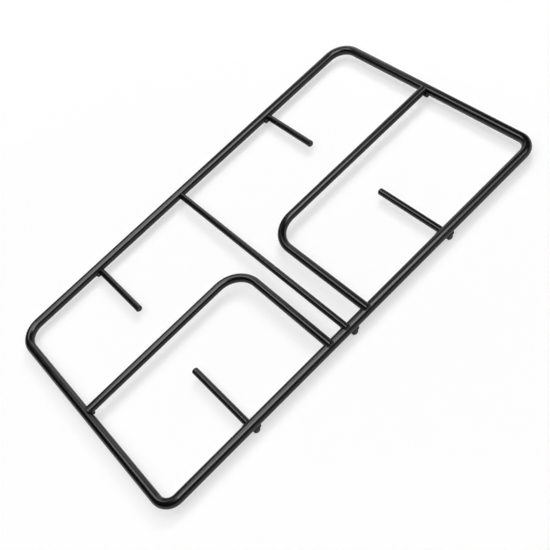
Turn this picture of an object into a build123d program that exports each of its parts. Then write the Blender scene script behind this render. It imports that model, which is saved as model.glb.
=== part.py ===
from build123d import *
from math import cos, radians, sin, sqrt
import os

# Frame: one steel rod bent to a closed rectangle, tighter at the near corners
overall_length = 414.5
overall_width = 237.5
frame_rod = 8.5
far_corner_radius = 18.0
near_corner_radius = 12.5

# Two bent legs, each from the middle of a short side to the near long side
leg_rod = 7.5
leg_bend_radius = 24.0
leg_rise = 2.5
right_leg_y = 2.8
left_leg_y = 0.6
leg_start_setback = 2.0
right_leg_gap = 22.0
left_leg_gap = 18.3

# Cross bar, butted to the far side and lapped over the near side
bar_rod = 6.0
bar_x = -13.0

# Fingers, butted to the inner faces of the long sides, undersides level with the frame's
finger_rod = 6.0
finger_root_setback = 2.4
far_right_inset = 103.4
far_left_inset = 89.4
near_right_inset = 105.7
near_left_inset = 86.1
far_right_reach = 65.0
far_left_reach = 69.0
near_reach = 70.5

# Feet: short lengths of rod lying across the underside of the near side
foot_rod = 6.0
foot_bedding = 0.8
foot_clearance = 0.3
foot_setback = 0.6
foot_offset = 1.7
middle_foot_gap = 3.7

# Ends of the rods: how far lapped ends stop inside the outer face, and the bevel of the cut
lap_setback = 2.0
end_bevel = 0.8

# Weld beads: tapered runs whose axes stand a little off the surfaces that they join
bead_radius = 1.9
bead_length = 6.0
bead_taper = 1.2
bead_standoff = 0.6
seam_angle = 25.0
right_start_shift = 3.0

# Levels, from the underside of the feet up
frame_r = frame_rod / 2
leg_r = leg_rod / 2
bar_r = bar_rod / 2
finger_r = finger_rod / 2
foot_r = foot_rod / 2
foot_z = foot_r
frame_z = foot_rod - foot_bedding + frame_r
finger_z = frame_z - frame_r + finger_r
leg_z = frame_z + leg_rise
bar_near_z = leg_z + leg_r - bar_r

# Lines of the frame's axis, and places along it
side_x = overall_length / 2 - frame_r
side_y = overall_width / 2 - frame_r
outer_y = -side_y - frame_r
lapped_end_y = outer_y + lap_setback
foot_outer_y = outer_y + foot_setback
foot_inner_y = -side_y + finger_root_setback - foot_clearance
right_leg_x = bar_x + right_leg_gap
left_leg_x = bar_x - left_leg_gap
seat_r = frame_r + bead_standoff


def swept_rod(path, diameter):
    """Round rod whose axis is the path."""
    start = Plane(origin=path @ 0, z_dir=path % 0)
    return sweep(start * Circle(diameter / 2), path=path)


def straight_rod(start, end, diameter):
    """Round rod between two points, cut square."""
    axis = Vector(*end) - Vector(*start)
    place = Plane(origin=start, z_dir=axis)
    return place * Cylinder(diameter / 2, axis.length, align=(Align.CENTER, Align.CENTER, Align.MIN))


def eased(rod, *ends):
    """The rod with the edges of its end faces at these points bevelled."""
    for end in ends:
        face = rod.faces().filter_by(GeomType.PLANE).sort_by_distance(end)[0]
        rod = chamfer(face.edges(), end_bevel)
    return rod


def coped(piece, *others):
    """The main part of the piece that is left outside the others."""
    for other in others:
        piece = piece - other
    return piece.solids().sort_by(SortBy.VOLUME)[-1]


# Frame, closed by a butt weld ground flush
outline = Rectangle(2 * side_x, 2 * side_y)
outline = fillet(outline.vertices().group_by(Axis.Y)[0], near_corner_radius)
outline = fillet(outline.vertices().group_by(Axis.Y)[-1], far_corner_radius)
frame = swept_rod(Pos(0, 0, frame_z) * outline.wire(), frame_rod).solid()


def bent_leg(leg_x, leg_y, outward):
    """Leg from the short side on the outward side to the near side, lapped over it."""
    start = (outward * (side_x - leg_start_setback), leg_y, leg_z)
    bend = (leg_x, leg_y, leg_z)
    end = (leg_x, lapped_end_y, leg_z)
    path = FilletPolyline(start, bend, end, radius=leg_bend_radius)
    return coped(eased(swept_rod(path, leg_rod), start, end), frame)


right_leg = bent_leg(right_leg_x, right_leg_y, 1)
left_leg = bent_leg(left_leg_x, left_leg_y, -1)

# Cross bar, rising from the far side until its top is level with the legs at the near side
bar_start = (bar_x, side_y, frame_z)
bar_end = (bar_x, lapped_end_y, bar_near_z)
cross_bar = coped(eased(straight_rod(bar_start, bar_end, bar_rod), bar_end), frame)


def finger(x, side, reach):
    """Finger from the far side (1) or the near side (-1), reaching in from the frame's axis."""
    root = (x, side * (side_y - finger_root_setback), finger_z)
    tip = (x, side * (side_y - reach), finger_z)
    return coped(eased(straight_rod(root, tip, finger_rod), tip), frame)


def foot(x):
    """Foot bedded in the underside of the near side, short of the roots of the fingers."""
    outer = (x, foot_outer_y, foot_z)
    inner = (x, foot_inner_y, foot_z)
    return coped(eased(straight_rod(outer, inner, foot_rod), outer), frame)


def bead(centre, along, *joined):
    """Weld bead along a direction, shaped to the rods that it joins."""
    run = Cylinder(bead_radius, bead_length)
    run = chamfer(run.edges().filter_by(GeomType.CIRCLE), bead_taper)
    return coped(Plane(origin=centre, z_dir=along) * run, *joined)


def root_bead(rod, x, side):
    """Bead on the left flank of a finger, along the inner face of its long side."""
    y = side * (side_y - seat_r * cos(radians(seam_angle)))
    z = frame_z - seat_r * sin(radians(seam_angle))
    return bead((x - finger_r, y, z), (1, 0, 0), frame, rod)


def foot_bead(rod, x):
    """Bead in the notch between the frame's underside and the right flank of a foot."""
    z = frame_z - seat_r
    step = sqrt((foot_r + bead_standoff) ** 2 - (z - foot_z) ** 2)
    y = foot_outer_y + bead_length / 2
    return bead((x + step, y, z), (0, 1, 0), frame, rod)


def seat_reach(z):
    """How far in from a side's axis a bead at this height lies."""
    return sqrt(seat_r ** 2 - (z - frame_z) ** 2)


def lap_bead(rod, x, underside_z):
    """Bead under a rod that laps over the near side, along the side's inner face."""
    z = underside_z - bead_standoff
    return bead((x, seat_reach(z) - side_y, z), (1, 0, 0), frame, rod)


def start_bead(rod, y, outward):
    """Bead under the start of a leg, along the inner face of its short side."""
    z = leg_z - leg_r - bead_standoff
    return bead((outward * (side_x - seat_reach(z)), y, z), (0, 1, 0), frame, rod)


nodes = {
    "frame": frame,
    "right_leg": right_leg,
    "left_leg": left_leg,
    "cross_bar": cross_bar,
    "weld_right_start": start_bead(right_leg, right_leg_y - right_start_shift, 1),
    "weld_left_start": start_bead(left_leg, left_leg_y, -1),
    "weld_right_end": lap_bead(right_leg, right_leg_x, leg_z - leg_r),
    "weld_left_end": lap_bead(left_leg, left_leg_x, leg_z - leg_r),
    "weld_bar_end": lap_bead(cross_bar, bar_x, bar_near_z - bar_r),
}

# Fingers and their welds: name, place along the side, which side, and reach
near_right_x = side_x - near_right_inset
near_left_x = near_left_inset - side_x
fingers = [
    ("far_right", side_x - far_right_inset, 1, far_right_reach),
    ("far_left", far_left_inset - side_x, 1, far_left_reach),
    ("near_right", near_right_x, -1, near_reach),
    ("near_left", near_left_x, -1, near_reach),
]
for name, x, side, reach in fingers:
    rod = finger(x, side, reach)
    nodes[f"finger_{name}"] = rod
    nodes[f"weld_{name}"] = root_bead(rod, x, side)

# Feet and their welds: one beside the bar, the others just right of the near fingers
feet = [
    ("left", near_left_x + foot_offset),
    ("middle", bar_x + middle_foot_gap),
    ("right", near_right_x + foot_offset),
]
for name, x in feet:
    rod = foot(x)
    nodes[f"foot_{name}"] = rod
    nodes[f"weld_foot_{name}"] = foot_bead(rod, x)

os.makedirs("parts", exist_ok=True)
for name, solid in nodes.items():
    export_step(solid, f"parts/{name}.step")
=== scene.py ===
import math
import bpy
from mathutils import Matrix, Vector


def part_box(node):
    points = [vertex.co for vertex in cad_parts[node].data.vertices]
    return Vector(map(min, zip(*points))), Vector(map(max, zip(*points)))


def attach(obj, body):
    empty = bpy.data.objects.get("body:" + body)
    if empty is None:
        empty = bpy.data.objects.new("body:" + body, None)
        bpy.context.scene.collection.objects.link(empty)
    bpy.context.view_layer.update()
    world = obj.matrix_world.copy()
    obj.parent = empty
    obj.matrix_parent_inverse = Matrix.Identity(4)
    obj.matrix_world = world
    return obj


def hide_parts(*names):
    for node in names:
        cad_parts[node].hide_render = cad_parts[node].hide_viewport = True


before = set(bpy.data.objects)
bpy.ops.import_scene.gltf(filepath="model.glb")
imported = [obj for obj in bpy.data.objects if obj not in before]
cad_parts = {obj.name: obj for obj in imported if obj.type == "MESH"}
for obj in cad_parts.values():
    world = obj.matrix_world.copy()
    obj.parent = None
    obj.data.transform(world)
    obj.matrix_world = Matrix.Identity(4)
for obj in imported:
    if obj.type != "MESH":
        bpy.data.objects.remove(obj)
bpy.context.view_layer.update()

# Frame
# One steel rod bent to a rectangle with rounded corners and closed by a butt weld ground flush.
# It was dipped and fired with the rest, so its finish is black vitreous enamel.


def linear(hex_colour):
    """Linear red, green, blue and alpha of an sRGB hex colour."""
    parts = [int(hex_colour[i:i + 2], 16) / 255 for i in (1, 3, 5)]
    return [c / 12.92 if c <= 0.04045 else ((c + 0.055) / 1.055) ** 2.4 for c in parts] + [1.0]


def add(tree, kind, settings=None, links=None):
    """Add a node, set its properties and sockets, and link its inputs from other nodes' outputs."""
    made = tree.nodes.new(kind)
    for name, value in (settings or {}).items():
        if isinstance(name, int) or name in made.inputs:
            made.inputs[name].default_value = value
        else:
            setattr(made, name, value)
    for name, (source, output) in (links or {}).items():
        tree.links.new(source.outputs[output], made.inputs[name])
    return made


def per_mm(size):
    """Texture scale, in repeats per metre, of a pattern this many millimetres across."""
    return 1000 / size


def fired_enamel(name, peel_mm, peel_depth_mm, gloss_low, gloss_high):
    """Black vitreous enamel: a glassy skin fired on steel, near black and softly glossy.

    The slip flows before it sets, so the gloss drifts slowly along the rod and the surface has
    a faint orange peel, with fine pits in it. All are drawn a little coarse, so that they show.
    """
    cloud_mm = 14.0
    cloud_detail = 3.0
    cloud_roughness = 0.55
    cloud_low = 0.3
    cloud_high = 0.7
    peel_detail = 2.0
    pit_mm = 0.9
    pit_share = 0.15
    enamel_ior = 1.42
    made = bpy.data.materials.new(name)
    made.use_nodes = True
    tree = made.node_tree
    tree.nodes.clear()
    place = add(tree, "ShaderNodeTexCoord")
    cloud = add(tree, "ShaderNodeTexNoise",
                {"Scale": per_mm(cloud_mm), "Detail": cloud_detail, "Roughness": cloud_roughness},
                {"Vector": (place, "Object")})
    gloss = add(tree, "ShaderNodeMapRange",
                {"From Min": cloud_low, "From Max": cloud_high, "To Min": gloss_low, "To Max": gloss_high},
                {"Value": (cloud, "Fac")})
    tone = add(tree, "ShaderNodeValToRGB", None, {"Fac": (cloud, "Fac")})
    tone.color_ramp.elements[0].position = cloud_low
    tone.color_ramp.elements[0].color = linear("#060606")
    tone.color_ramp.elements[1].position = cloud_high
    tone.color_ramp.elements[1].color = linear("#0b0b0b")
    peel = add(tree, "ShaderNodeTexNoise", {"Scale": per_mm(peel_mm), "Detail": peel_detail},
               {"Vector": (place, "Object")})
    pits = add(tree, "ShaderNodeTexVoronoi", {"Scale": per_mm(pit_mm)}, {"Vector": (place, "Object")})
    skin = add(tree, "ShaderNodeMath", {"operation": "MULTIPLY_ADD", 1: pit_share},
               {0: (pits, "Distance"), 2: (peel, "Fac")})
    bump = add(tree, "ShaderNodeBump", {"Strength": 1.0, "Distance": peel_depth_mm / 1000},
               {"Height": (skin, "Value")})
    glass = add(tree, "ShaderNodeBsdfPrincipled", {"IOR": enamel_ior},
                {"Base Color": (tone, "Color"), "Roughness": (gloss, "Result"), "Normal": (bump, "Normal")})
    add(tree, "ShaderNodeOutputMaterial", None, {"Surface": (glass, "BSDF")})
    return made


def coat(piece, material):
    """Give a piece its finish."""
    piece.data.materials.clear()
    piece.data.materials.append(material)


rod_enamel = fired_enamel("black_enamel_on_rod", peel_mm=2.2, peel_depth_mm=0.004,
                          gloss_low=0.20, gloss_high=0.26)
coat(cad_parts["frame"], rod_enamel)

# Bent legs
# Two rods, each bent once to an L and welded from a short side to the near long side.
# They lie a little proud of the frame, so that pans rest on them. Enamelled with the frame.
for leg in ("right_leg", "left_leg"):
    coat(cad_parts[leg], rod_enamel)

# Cross bar
# A thinner straight rod between the long sides, butted to the far one and lapped over the near one.
# Welded at both ends and enamelled with the frame.
coat(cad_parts["cross_bar"], rod_enamel)

# Fingers
# Four short rods butted to the inner faces of the long sides, to hold small pans over the burners.
# Sawn to length, bevelled at the tip, welded and enamelled with the frame.
for finger in ("finger_far_right", "finger_far_left"):
    coat(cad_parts[finger], rod_enamel)

# The near two reach farther in than their solids, so each is its solid drawn out at the tip.
tip_depth = 0.002
near_growth = 0.003
for finger in ("near_right", "near_left"):
    node = f"finger_{finger}"
    tip_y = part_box(node)[1].y
    drawn_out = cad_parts[node].data.copy()
    for corner in drawn_out.vertices:
        if corner.co.y > tip_y - tip_depth:
            corner.co.y += near_growth
    piece = bpy.data.objects.new(f"{finger}_finger", drawn_out)
    bpy.context.scene.collection.objects.link(piece)
    coat(piece, rod_enamel)
    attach(piece, "root")
    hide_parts(node)

# Weld beads
# Short runs of weld metal in the corners between the rods, rounded over by the enamel.
# The slip gathers there, so the surface is lumpier and duller than on the rods.
bead_enamel = fired_enamel("black_enamel_on_weld", peel_mm=1.4, peel_depth_mm=0.01,
                           gloss_low=0.42, gloss_high=0.52)
welds = [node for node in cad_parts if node.startswith("weld_")]
voxel_mm = 0.22
smooth_factor = 0.5
smooth_passes = 10
for weld in welds:
    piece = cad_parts[weld]
    coat(piece, bead_enamel)
    lump = piece.modifiers.new("lump", "REMESH")
    lump.mode = "VOXEL"
    lump.voxel_size = voxel_mm / 1000
    lump.use_smooth_shade = True
    flow = piece.modifiers.new("flow", "SMOOTH")
    flow.factor = smooth_factor
    flow.iterations = smooth_passes

# Feet
# Three short lengths of rod that lie across the underside of the near side and stand on the hob.
# Welded on before enamelling. Slip drains down to them, so they are as dull as the weld beads.
for foot in ("left", "middle", "right"):
    coat(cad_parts[f"foot_{foot}"], bead_enamel)

# Far feet
# Two shorter feet under the roots of the far fingers, welded and enamelled like the near ones.
# The rod hides them from the front. They keep the far side up, so that the grid stands level.
far_foot_share = 0.55


def middle_x(node):
    """Middle of a node along the grid's length."""
    low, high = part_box(node)
    return (low.x + high.x) / 2


foot_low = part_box("foot_left")[0]
foot_offset = middle_x("foot_left") - middle_x("finger_near_left")
to_outer_end = Matrix.Translation((0, foot_low.y, 0))
shorter = to_outer_end @ Matrix.Scale(far_foot_share, 4, (0, 1, 0)) @ to_outer_end.inverted()
for side in ("left", "right"):
    foot_x = middle_x(f"finger_far_{side}") - foot_offset
    piece = bpy.data.objects.new(f"far_foot_{side}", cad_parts["foot_left"].data.copy())
    piece.matrix_world = (Matrix.Translation((foot_x + middle_x("foot_left"), 0, 0))
                          @ Matrix.Rotation(math.pi, 4, "Z") @ shorter)
    bpy.context.scene.collection.objects.link(piece)
    coat(piece, bead_enamel)
    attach(piece, "root")

# Floor
# A wide round sheet of white paper, its rim turned up far away so that low views see paper too.
# It lies just under the feet, and the grid stands on it.
flat_reach = 15.0
rim_reach = 16.0
rim_height = 3.0
rim_sides = 32
floor_drop = 0.0001
around = [2 * math.pi * i / rim_sides for i in range(rim_sides)]
corners = [(flat_reach * math.cos(a), flat_reach * math.sin(a), 0) for a in around]
corners += [(rim_reach * math.cos(a), rim_reach * math.sin(a), rim_height) for a in around]
faces = [tuple(range(rim_sides))]
for i in range(rim_sides):
    after = (i + 1) % rim_sides
    faces.append((i, i + rim_sides, after + rim_sides, after))
floor_mesh = bpy.data.meshes.new("paper_floor")
floor_mesh.from_pydata(corners, [], faces)
floor = bpy.data.objects.new("paper_floor", floor_mesh)
floor.location = (0, 0, foot_low.z - floor_drop)
bpy.context.scene.collection.objects.link(floor)

# Matt white paper, even and without a sheen. What the camera and reflections see of it is lifted
# to white by as much as the lamps leave out, more as they fade from their middle outward (as the
# fourth power of the slant's cosine). The light that it gives to the grid isn't lifted.
lamp_share = 0.43
lamp_height = 1.8
lamp_fading = -2.0
lit_middle = (0.20, 0.06, 0.0)
paper = bpy.data.materials.new("matt_white_paper")
paper.use_nodes = True
tree = paper.node_tree
tree.nodes.clear()
path = add(tree, "ShaderNodeLightPath")
camera_or_glossy = add(tree, "ShaderNodeMath", {"operation": "MAXIMUM"},
                       {0: (path, "Is Camera Ray"), 1: (path, "Is Glossy Ray")})
seen = add(tree, "ShaderNodeMath", {"operation": "MAXIMUM"},
           {0: (camera_or_glossy, "Value"), 1: (path, "Is Transmission Ray")})
spot = add(tree, "ShaderNodeNewGeometry")
away = add(tree, "ShaderNodeVectorMath", {"operation": "SUBTRACT", 1: lit_middle},
           {0: (spot, "Position")})
away_squared = add(tree, "ShaderNodeVectorMath", {"operation": "DOT_PRODUCT"},
                   {0: (away, "Vector"), 1: (away, "Vector")})
slant = add(tree, "ShaderNodeMath", {"operation": "MULTIPLY_ADD", 1: 1 / lamp_height ** 2, 2: 1.0},
            {0: (away_squared, "Value")})
fading = add(tree, "ShaderNodeMath", {"operation": "POWER", 1: lamp_fading}, {0: (slant, "Value")})
rest = add(tree, "ShaderNodeMath", {"operation": "MULTIPLY_ADD", 1: -lamp_share, 2: 1.0},
           {0: (fading, "Value")})
lift = add(tree, "ShaderNodeMath", {"operation": "MULTIPLY"}, {0: (seen, "Value"), 1: (rest, "Value")})
glow = add(tree, "ShaderNodeEmission", {"Color": linear("#ffffff")}, {"Strength": (lift, "Value")})
matt = add(tree, "ShaderNodeBsdfDiffuse", {"Color": linear("#b0b0b0")})
sheet = add(tree, "ShaderNodeAddShader", None, {0: (matt, "BSDF"), 1: (glow, "Emission")})
add(tree, "ShaderNodeOutputMaterial", None, {"Surface": (sheet, "Shader")})
floor_mesh.materials.append(paper)

# Light
# Six softboxes in a dim room. Four only show in the enamel, as the highlights along the rods.
# A small key lamp at the right and a wide ceiling lamp light the paper and cast the shadows.


def softbox(name, place, width, depth, brightness):
    """A softbox that faces the grid: metres along X and across, and times as bright as paper."""
    lamp = bpy.data.lights.new(name, "AREA")
    lamp.shape = "RECTANGLE"
    lamp.size = width
    lamp.size_y = depth
    lamp.energy = brightness * math.pi * width * depth
    box = bpy.data.objects.new(name, lamp)
    box.location = place
    toward = Vector(place).normalized()
    across = Vector((0, 1, 0)).cross(toward).normalized()
    box.rotation_euler = Matrix((across, toward.cross(across), toward)).transposed().to_euler()
    bpy.context.scene.collection.objects.link(box)
    return box


highlights = [
    softbox("overhead_softbox", (0.06, -0.36, 1.00), width=0.82, depth=0.80, brightness=6.5),
    softbox("right_softbox", (0.66, -0.72, 0.88), width=0.62, depth=0.60, brightness=3.2),
    softbox("far_softbox", (-0.03, 0.37, 0.86), width=0.42, depth=0.50, brightness=5.2),
    softbox("far_right_softbox", (0.80, 0.98, 0.60), width=0.95, depth=0.60, brightness=1.8),
]
for box in highlights:
    box.visible_diffuse = False
shadows = [
    softbox("key_softbox", (0.95, 0.36, 1.10), width=0.36, depth=0.36, brightness=16.0),
    softbox("ceiling_softbox", (0.0, 0.0, 1.6), width=2.4, depth=2.4, brightness=1.65),
]
for box in shadows:
    box.visible_glossy = False
room_level = 0.03
room = bpy.data.worlds.new("dim_room")
room.use_nodes = True
room.node_tree.nodes["Background"].inputs["Color"].default_value = linear("#ffffff")
room.node_tree.nodes["Background"].inputs["Strength"].default_value = room_level
bpy.context.scene.world = room

# Camera
# A short telephoto view from above the near left corner, with the whole grid in the frame.
# The camera is rolled, so that the grid runs up from the lower left to the upper right.
camera_place = Vector((-0.1320, -0.4353, 0.5560))
camera_aim = Vector((-0.0157, -0.0293, 0.0095))
camera_roll = math.radians(-31.14)
lens_mm = 54.83
sensor_mm = 36.0
lens = bpy.data.cameras.new("camera")
lens.lens = lens_mm
lens.sensor_width = sensor_mm
camera = bpy.data.objects.new("camera", lens)
turn = (camera_aim - camera_place).to_track_quat("-Z", "Y").to_matrix().to_4x4()
camera.matrix_world = Matrix.Translation(camera_place) @ turn @ Matrix.Rotation(camera_roll, 4, "Z")
bpy.context.scene.collection.objects.link(camera)
bpy.context.scene.camera = camera
bpy.context.scene.view_settings.view_transform = "Standard"
